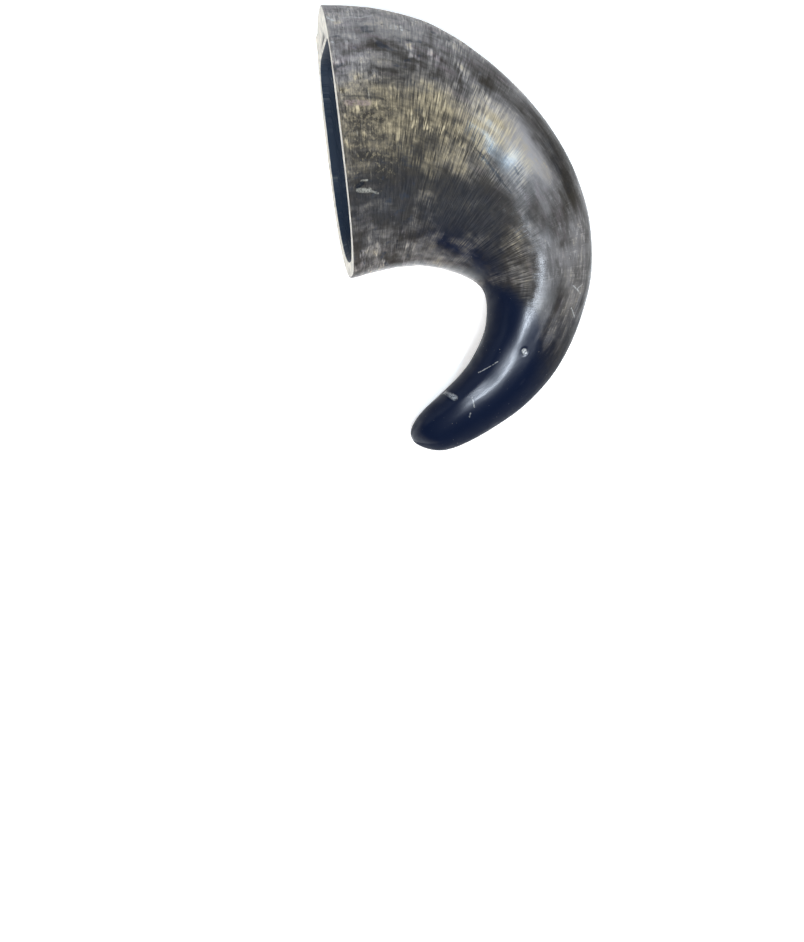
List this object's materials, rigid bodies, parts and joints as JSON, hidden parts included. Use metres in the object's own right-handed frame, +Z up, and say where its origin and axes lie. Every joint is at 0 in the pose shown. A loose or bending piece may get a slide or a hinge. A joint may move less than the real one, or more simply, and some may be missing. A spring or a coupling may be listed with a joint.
{
  "type": "buffalo horn",
  "caption": "Curved water buffalo horn on its side: sawn base with a deep oval hollow, flattened body, strong bend and a solid rounded polished tip.",
  "frame": {"origin": "on the surface the horn lies on, under the middle of its bounding box", "axes": "+Z up from the surface it lies on; +Y along its length, towards the convex side of the sawn base; +X towards the outside of the bend, so that the mouth faces -X and the tip curls back to -Y"},
  "size_m": [0.0936, 0.1474, 0.044],
  "materials": {
    "keratin": "horn keratin: grey-brown with tan striations and a satin sheen on the body, navy-black and polished at the tip, pale matt bone-grey on the sawn rim"
  },
  "bodies": {
    "root": {"buffalo_horn": "keratin"}
  },
  "joints": []
}
